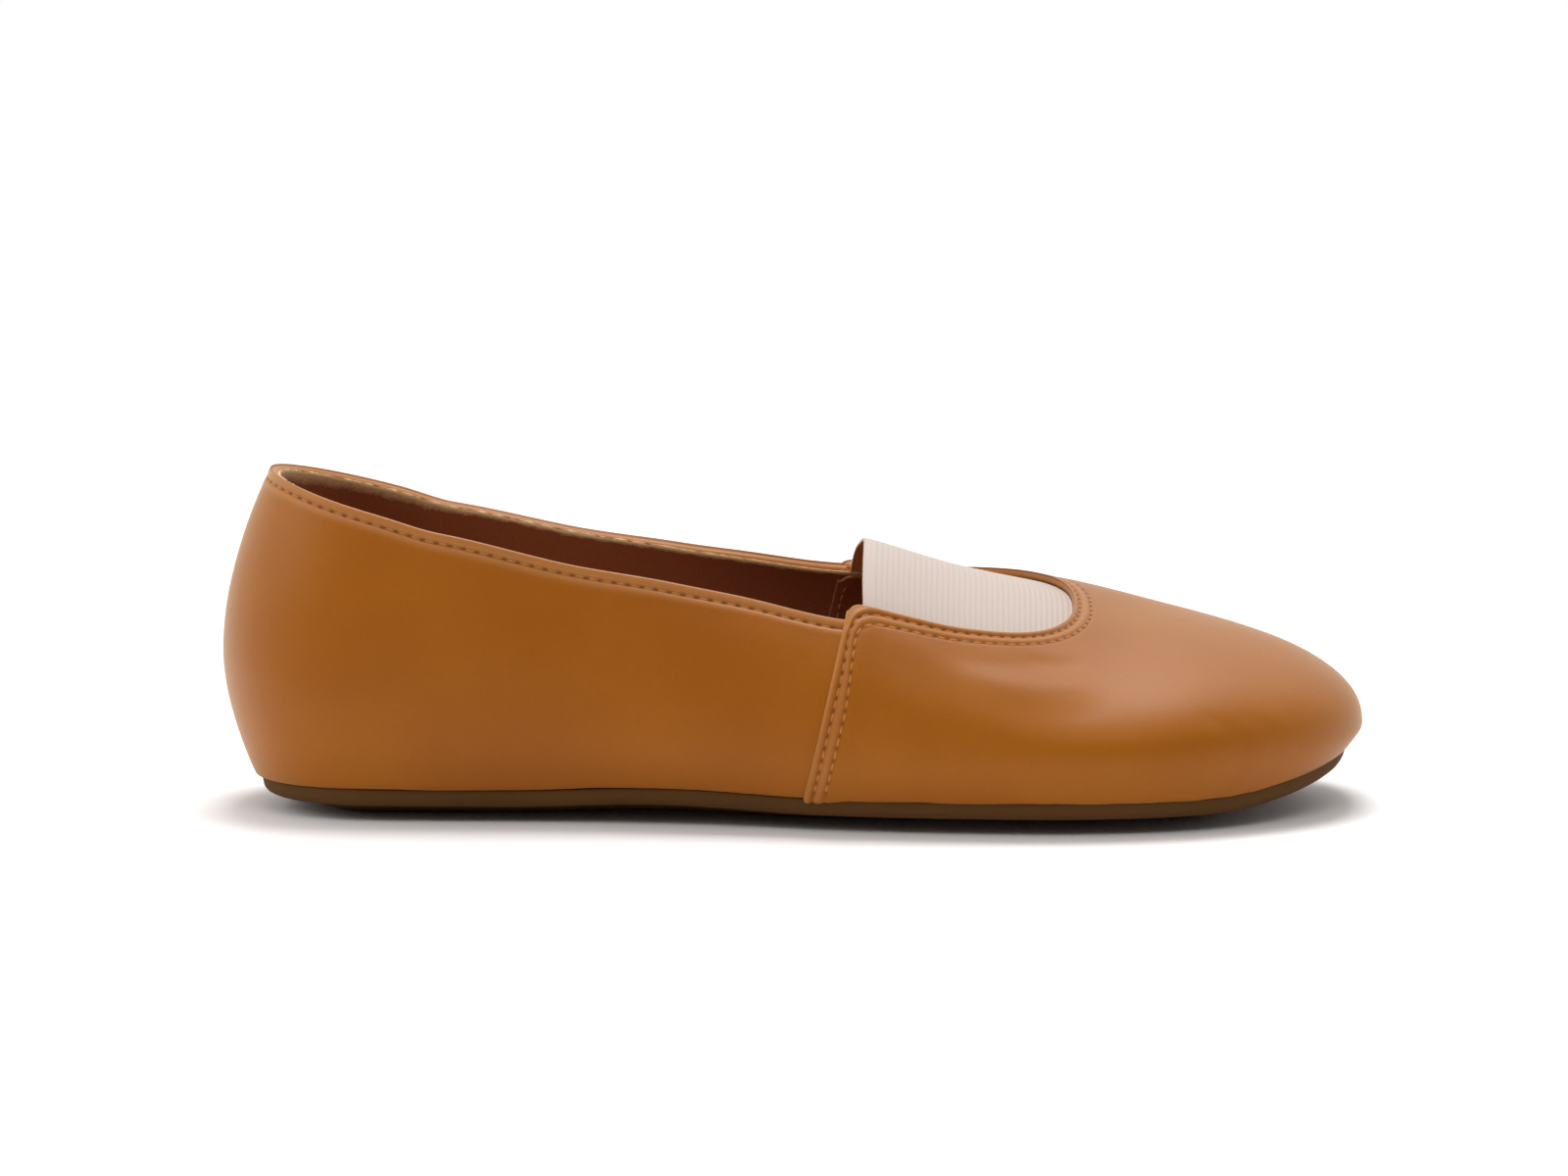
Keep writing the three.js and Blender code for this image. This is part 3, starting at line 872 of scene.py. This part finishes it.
# Painted highlight on the folded throat and seam edge and on the ridge between the two stitch rows; the
# edge is partly a rubbed edge too
vamp_rub_and_highlight = np.clip(1.1 - edge_distance / 1.6, 0, 1) + 0.7 * hump(edge_distance, 3.2, 0.9)
shaped_grid("vamp", vamp_loop, tan_leather, {
    "groove_shade": loop_marks(vamp_groove_shade, vamp_loop),
    "rub_and_highlight": loop_marks(vamp_rub_and_highlight, vamp_loop, 1.0),
})


# Lining
# Dark brown brushed lining, glued inside the whole upper. Its ragged top edge is painted pale khaki, a
# painted highlight where light catches it just inside the collar, broadest at the heel.
LINING_THICKNESS = 0.7


def lining_finish():
    material, surface, wire = new_finish(
        "brown_lining", (0.1, 0.04, 0.02), 0.9, specular=0.2, sheen=0.25)
    place = wire.node("TexCoord", output=3)
    pile = wire.node("TexNoise", {"Vector": place, "Scale": 1400, "Detail": 5, "Roughness": 0.7})
    cloud = wire.node("TexNoise", {"Vector": place, "Scale": 60, "Detail": 3})
    # Painted highlight: the lining's top edge is painted pale khaki, with a noisy border
    edge_light_noisy = wire.mark("lit_edge") + (pile - 0.5) * 0.9 + (cloud - 0.5) * 0.5
    ragged = wire.node("MapRange", {0: edge_light_noisy, 1: 0.2, 2: 0.95})
    body = wire.mix(pile, (0.28, 0.070, 0.014), (0.42, 0.115, 0.026))
    feed(wire.mix(ragged, body, (0.85, 0.56, 0.28)), surface, "Base Color")
    bump = wire.node("Bump", {"Strength": 0.6, "Distance": 0.0003, "Height": pile})
    feed(bump, surface, "Normal")
    return material


lining_cloth = lining_finish()


def lining_piece(name, rows, normals, down, top_row, depth, pale, fringe):
    """A thin sheet against the wall's inner face, from just under the edge to the insole. pale is how
    strong the painted highlight on its top edge is, and fringe how much broader that gets at the heel."""
    kept = rows[::2, top_row:]
    out = normals[::2, top_row:]
    distance = down[::2, top_row:]
    face = kept - out * (depth + LINING_THICKNESS)
    back = kept - out * depth
    run = running_length(kept[:, 0])
    ragged = (
        0.38
        + 0.14 * np.sin(run * 2.9) * np.sin(run * 1.7 + 1)
        + 0.10 * np.sin(run * 3.9) * np.sin(run * 0.47)
        + 0.06 * np.sin(run * 0.6)
    )
    up = kept[:, :1] - kept[:, 2:3]
    up /= np.linalg.norm(up, axis=-1, keepdims=True)
    soft_top = (face[:, :1] + back[:, :1]) / 2 + up * ragged[:, None, None]
    loop = np.concatenate([soft_top, face, back[:, ::-1], soft_top], 1)
    wide = 1.0 + 0.3 * np.sin(run * 1.1)[:, None] * np.sin(run * 0.31)[:, None]
    wide = wide + fringe * smooth_step(-kept[:, :1, 0], 60, 110)
    # The painted highlight fades over about a millimetre below the top edge, and further at the heel
    edge_light = np.clip(1.1 - (distance - distance[:, :1]) / wide, 0, 1) * pale
    top_mark = np.full((len(kept), 1), pale)
    marks = np.concatenate([top_mark, edge_light, np.full(edge_light.shape, pale), top_mark], 1)
    return shaped_grid(name, loop, lining_cloth, {"lit_edge": marks})


lining_piece(
    "quarter_lining", quarter_rows, quarter_normals, quarter_down,
    top_row=1, depth=1.8, pale=1.0, fringe=2.2)
lining_piece(
    "vamp_lining", vamp_rows, vamp_normals, vamp_down, top_row=5, depth=2.5, pale=0.3, fringe=0)


# Elastic gore
# A wide woven elastic band, sewn under the throat edge. Fine cords run across it from side to side, and
# its back edge is a flat woven selvedge. Its underside is painted warm orange, a painted glow for light
# that shines through the thin band and bounces under it.
GORE_BACK = 15.5
GORE_TUCK = 6
GORE_THICKNESS = 0.9
GORE_DEPTH = 1.45
GORE_SKEW = 3.3
GORE_ARCH = 1.2
GORE_COLUMNS = 300
GORE_ACROSS = 81
RIB_PITCH = 1.2
RIB_HEIGHT = 0.022
TWILL_PITCH = 0.8
SELVEDGE = 2.2


def elastic_finish():
    material, surface, wire = new_finish(
        "woven_elastic", (0.7, 0.6, 0.5), 0.8, specular=0.25, sheen=0.15)
    along_shoe = wire.mark("from_back")
    place = wire.node("TexCoord", output=3)
    rib = wire.maths("COSINE", along_shoe * (2 * math.pi / RIB_PITCH))
    slant = wire.mark("across") * (2 * math.pi / TWILL_PITCH) + along_shoe * (math.pi / RIB_PITCH)
    twill = wire.maths("COSINE", slant)
    fuzz = wire.node("TexNoise", {"Vector": place, "Scale": 2600, "Detail": 4, "Roughness": 0.6})
    # Painted shade: the valleys between the cords are painted darker; the twill and the fuzz are the
    # weave's own tone
    rib_valley_shade = wire.node("MapRange", {0: rib, 1: -1.0, 2: 0.2, 3: 1.0, 4: 0.0})
    ribbed = wire.node("MapRange", {0: along_shoe, 1: SELVEDGE - 0.4, 2: SELVEDGE + 0.4})
    shade = (rib_valley_shade * 0.10 + twill * 0.06 + 0.05) * (ribbed * 0.85 + 0.15) + (fuzz - 0.5) * 0.22
    woven = wire.mix(shade, (0.58, 0.48, 0.42), (0.36, 0.275, 0.225))
    # Painted light: the underside is painted warm orange as a painted glow of light shining through and
    # bouncing under the band
    feed(wire.mix(wire.mark("underside_glow"), woven, (0.85, 0.40, 0.13)), surface, "Base Color")
    relief = rib * 0.25 + twill * 0.3 + fuzz * 0.5
    bump = wire.node("Bump", {"Strength": 0.45, "Distance": 0.00015, "Height": relief})
    feed(bump, surface, "Normal")
    return material


def gore_half(side, x):
    part = (x - THROAT_BACK) / (THROAT_DEPTH + GORE_TUCK)
    return (throat_half(side) + GORE_TUCK) * arc_fall(part, THROAT_FULLNESS)


def on_last(plan):
    """Places on the last above points of its plan, and the outward directions there."""
    step = 0.05
    x, y = plan[..., 0], plan[..., 1]
    slope_x = (last_top(x + step, y) - last_top(x - step, y)) / (2 * step)
    slope_y = (last_top(x, y + step) - last_top(x, y - step)) / (2 * step)
    normal = np.stack([-slope_x, -slope_y, np.ones_like(x)], -1)
    normal /= np.linalg.norm(normal, axis=-1, keepdims=True)
    return np.concatenate([plan, last_top(x, y)[..., None]], -1), normal


gore_front = THROAT_BACK + THROAT_DEPTH + GORE_TUCK - 0.6
gore_part = np.sin(np.linspace(-np.pi / 2, np.pi / 2, GORE_ACROSS))
gore_back = GORE_BACK + 0.5 * hump(gore_part, 0, 0.5) - GORE_SKEW * smooth_step(gore_part, 0.2, 1.0)
gore_x = gore_back + (gore_front - gore_back) * np.linspace(0, 1, GORE_COLUMNS)[:, None]
gore_y = np.where(gore_part < 0, gore_half(-1, gore_x), gore_half(1, gore_x)) * gore_part
gore_plan = np.stack([gore_x, middle_line(gore_x) + gore_y], -1)
gore_places, gore_normals = on_last(gore_plan)
gore_run = np.clip((gore_x - gore_back) / THROAT_DEPTH, 0, 1)
gore_arch = GORE_ARCH * (1 - gore_part**2) * (1 - gore_run) * (0.35 + gore_run)
from_back = gore_x - gore_back
rib_wave = RIB_HEIGHT * np.cos(2 * np.pi * from_back / RIB_PITCH)
rib_wave = rib_wave * smooth_step(from_back, SELVEDGE - 0.3, SELVEDGE + 0.3)
gore_face = gore_places + gore_normals * (gore_arch + rib_wave - GORE_DEPTH)[..., None]
gore_under = gore_places + gore_normals * (gore_arch - GORE_DEPTH - GORE_THICKNESS)[..., None]


def round_band(face, under):
    """Places or marks of the band's face and underside, as loops."""
    return np.concatenate([face, under[:, ::-1], face[:, :1]], 1)


gore = shaped_grid(
    "elastic_band", round_band(gore_face, gore_under), elastic_finish(), {
        "from_back": round_band(from_back, from_back),
        "across": round_band(gore_plan[..., 1], gore_plan[..., 1]),
        "underside_glow": round_band(np.zeros(from_back.shape), np.ones(from_back.shape)),
    })
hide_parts("elastic_gore")
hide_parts("upper")


# Stitches
# Tan polyester thread, a little paler than the leather. Each stitch lies in a pulled-in
# groove and dives into a needle hole at both ends.
THREAD_RADIUS = 0.27
THREAD_SINK = 0.02
SEAM_CLEARANCE = 0.3
INSIDE_DEPTH = 3.2
BESIDE_SEAM = 0.8


def thread_finish():
    material, surface, wire = new_finish(
        "tan_thread", (0.42, 0.17, 0.03), 0.6, specular=0.2, sheen=0.1)
    place = wire.node("TexCoord", output=3)
    ply = wire.node("TexNoise", {"Vector": place, "Scale": 2500, "Detail": 2})
    feed(wire.mix(ply, (0.44, 0.155, 0.02), (0.56, 0.23, 0.05)), surface, "Base Color")
    return material


tan_thread = thread_finish()


def stitch_row(name, line, normals, run, pitch, length, start, end):
    """A row of short capsules between needle holes, each sunk a little at its ends."""
    shape = bmesh.new()
    for k in range(math.ceil(start / pitch), math.floor(end / pitch)):
        middle = (k + 0.5) * pitch
        ends = at_lengths(line, np.array([middle - length / 2, middle + length / 2]), run)
        spot = at_lengths(line, np.array([middle]), run)[0]
        out = Vector(at_lengths(normals, np.array([middle]), run)[0]).normalized()
        way = Vector(ends[1] - ends[0]).normalized()
        out = (out - way * out.dot(way)).normalized()
        aside = out.cross(way)
        turn = Matrix((way, aside, out)).transposed().to_4x4()
        size = Matrix.Diagonal((length / 2 * MM, THREAD_RADIUS * MM, THREAD_RADIUS * 0.8 * MM, 1))
        move = Matrix.Translation(Vector(to_world(spot)))
        bmesh.ops.create_uvsphere(shape, u_segments=8, v_segments=6, radius=1, matrix=move @ turn @ size)
    return finish_piece(name, shape, tan_thread)


normals = quarter_normals[:, collar_row]
line = collar_line + normals * (quarter_lift[:, collar_row] - THREAD_SINK)[:, None]
uncovered = seam_offset(line) < -SEAM_CLEARANCE
seen_from = collar_run[np.argmax(uncovered)]
seen_to = collar_run[len(line) - 1 - np.argmax(uncovered[::-1])]
stitch_row(
    "collar_stitches", line, normals, collar_run, STITCH_PITCH, STITCH_LENGTH, seen_from, seen_to)

for name, contour, run in (
    ("vamp_stitches_first", first_contour, first_run),
    ("vamp_stitches_second", second_contour, second_run),
):
    line = on_contour(vamp_rows + vamp_normals * (vamp_lift - THREAD_SINK)[..., None], contour)
    normals = on_contour(vamp_normals, contour)
    stitch_row(name, line, normals, run, VAMP_PITCH, VAMP_STITCH, 0, run[-1])

# The seams' first row comes through on the lining
seam_line = on_contour(vamp_rows - vamp_normals * INSIDE_DEPTH, first_contour)
seam_normals = -on_contour(vamp_normals, first_contour)
from_seam = seam_offset(on_contour(vamp_rows, first_contour))
beside_seam = np.abs(from_seam - ROW_ONE) < BESIDE_SEAM
seam_ends = (
    first_run[np.argmin(beside_seam)],
    first_run[len(beside_seam) - np.argmin(beside_seam[::-1])],
)
for name, start, end in (
    ("inside_stitches_outer", 0, seam_ends[0]),
    ("inside_stitches_inner", seam_ends[1], first_run[-1]),
):
    stitch_row(name, seam_line, seam_normals, first_run, VAMP_PITCH, VAMP_STITCH, start, end)


# Outsole
# One thin sheet of dark tan rubber, cut to the last and glued under it. Its lower edge is
# rounded off, and its underside is plain with a fine stipple.
SOLE_SETBACK = 0.8
HEEL_SETBACK = 1.5
HEEL_SETBACK_RUN = 30
FLAT_SHARE = 0.5
HEEL_RUN = 20
TOE_RUN = 34
SOLE_ROWS = 220
SOLE_COLUMNS = 26
# Going down the edge: how far in it lies and how far it is below the top, of the thickness
SOLE_EDGE = (
    (0.0, 0.0), (-0.05, 0.1), (-0.03, 0.25), (0.08, 0.42), (0.3, 0.6), (0.65, 0.76),
    (1.15, 0.89), (1.8, 0.97), (2.5, 1.0))


def rubber_finish():
    material, surface, wire = new_finish("dark_tan_rubber", (0.1, 0.05, 0.02), 0.7, specular=0.1)
    place = wire.node("TexCoord", output=3)
    grit = wire.node("TexNoise", {"Vector": place, "Scale": 1200, "Detail": 3, "Roughness": 0.6})
    cloud = wire.node("TexNoise", {"Vector": place, "Scale": 40, "Detail": 4})
    feed(wire.mix(cloud, (0.082, 0.034, 0.008), (0.128, 0.060, 0.018)), surface, "Base Color")
    feed(0.6 + grit * 0.25, surface, "Roughness")
    bump = wire.node("Bump", {"Strength": 0.35, "Distance": 0.0002, "Height": grit})
    feed(bump, surface, "Normal")
    return material


def level_rows(inset, height, columns, sides):
    """Points across one level of a flat piece, or only its sides, from its heel end to its toe
    end. height takes a place and the share of the way from the middle to the edge."""
    ends = np.array([-LENGTH / 2, LENGTH / 2])
    low, high = ends + inset(ends) * np.array([1, -1])
    x = low + (high - low) * (1 - np.cos(np.linspace(0, np.pi, SOLE_ROWS + 1))) / 2
    part = np.sin(np.linspace(-np.pi / 2, np.pi / 2, columns + 1))
    if sides:
        part = np.array([-1.0, 1.0])
    outer, inner = half_width(-1, x, inset(x))[:, None], half_width(1, x, inset(x))[:, None]
    y = middle_line(x)[:, None] + part[None] * np.where(part[None] < 0, outer, inner)
    x = np.broadcast_to(x[:, None], y.shape)
    return np.stack([x, y, height(x, y, np.broadcast_to(np.abs(part), y.shape))], -1)


def flat_loop(edge, base_inset, top_height, bottom_height, columns):
    """Loops round a flat piece: its top face, one edge, its underside and the other edge."""
    def level(inset, down, sides):
        def rise(x, y, part):
            top = top_height(x, y, part)
            return top + (bottom_height(x, y, part) - top) * down
        return level_rows(lambda x: base_inset(x) + inset, rise, columns, sides)

    top = level(*edge[0], False)
    bottom = level(*edge[-1], False)
    between = [level(inset, down, True) for inset, down in edge[1:-1]]
    right = np.stack([row[:, 1] for row in between], 1)
    left = np.stack([row[:, 0] for row in between[::-1]], 1)
    return np.concatenate([top, right, bottom[:, ::-1], left, top[:, :1]], 1)


def sole_inset(x):
    from_heel = 1 - smooth_step(x, -LENGTH / 2, HEEL_SETBACK_RUN - LENGTH / 2)
    return tuck_at(x) + SOLE_SETBACK + HEEL_SETBACK * from_heel


def sole_top(x, y, part):
    return ground_at(x) + SOLE_THICKNESS


def underside(x, y, part):
    """The middle of the sole bulges down to the floor, and rises to the edge all round."""
    heel_end = -LENGTH / 2 + sole_inset(-LENGTH / 2) + SOLE_EDGE[-1][0]
    toe_end = LENGTH / 2 - sole_inset(LENGTH / 2) - SOLE_EDGE[-1][0]
    sideways = 1 - smooth_step(part, FLAT_SHARE, 1)
    from_heel = smooth_step(x, heel_end, heel_end + HEEL_RUN)
    from_toe = 1 - smooth_step(x, toe_end - TOE_RUN, toe_end)
    return ground_at(x) - SOLE_CAMBER * sideways * from_heel * from_toe


outsole_loop = flat_loop(SOLE_EDGE, sole_inset, sole_top, underside, SOLE_COLUMNS)
outsole = shaped_grid("outsole_sheet", outsole_loop, rubber_finish())
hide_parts("outsole")


# Insole
# A thin foam sock covered in brown brushed cloth. It lies on the lasting margin and is a
# little dished under the heel and the ball of the foot.
INSOLE_THICKNESS = 3
INSOLE_BASE = 2.6
INSOLE_SETBACK = 0.8
INSOLE_EDGE = ((-0.6, 0.0), (-1.1, 0.12), (-1.2, 0.35), (-0.7, 0.7), (0.0, 1.0))


def insole_finish():
    material, surface, wire = new_finish(
        "brushed_sock", (0.12, 0.05, 0.02), 0.95, specular=0.15, sheen=0.3)
    place = wire.node("TexCoord", output=3)
    pile = wire.node("TexNoise", {"Vector": place, "Scale": 900, "Detail": 5, "Roughness": 0.7})
    feed(wire.mix(pile, (0.11, 0.045, 0.02), (0.22, 0.10, 0.05)), surface, "Base Color")
    bump = wire.node("Bump", {"Strength": 0.5, "Distance": 0.0004, "Height": pile})
    feed(bump, surface, "Normal")
    return material


def sock_top(x, y, part):
    heel_dish = 0.8 * np.exp(-(((x + 85) / 22) ** 2) - ((y / 18) ** 2))
    ball_dish = 0.6 * np.exp(-(((x - 50) / 26) ** 2) - (((y - 2) / 30) ** 2))
    return feather_at(x) + INSOLE_BASE + INSOLE_THICKNESS - heel_dish - ball_dish


insole_loop = flat_loop(
    INSOLE_EDGE, lambda x: tuck_at(x) + WALL + INSOLE_SETBACK, sock_top,
    lambda x, y, part: feather_at(x) + INSOLE_BASE, SOLE_COLUMNS)
insole = shaped_grid("insole_sock", insole_loop, insole_finish())
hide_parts("insole")
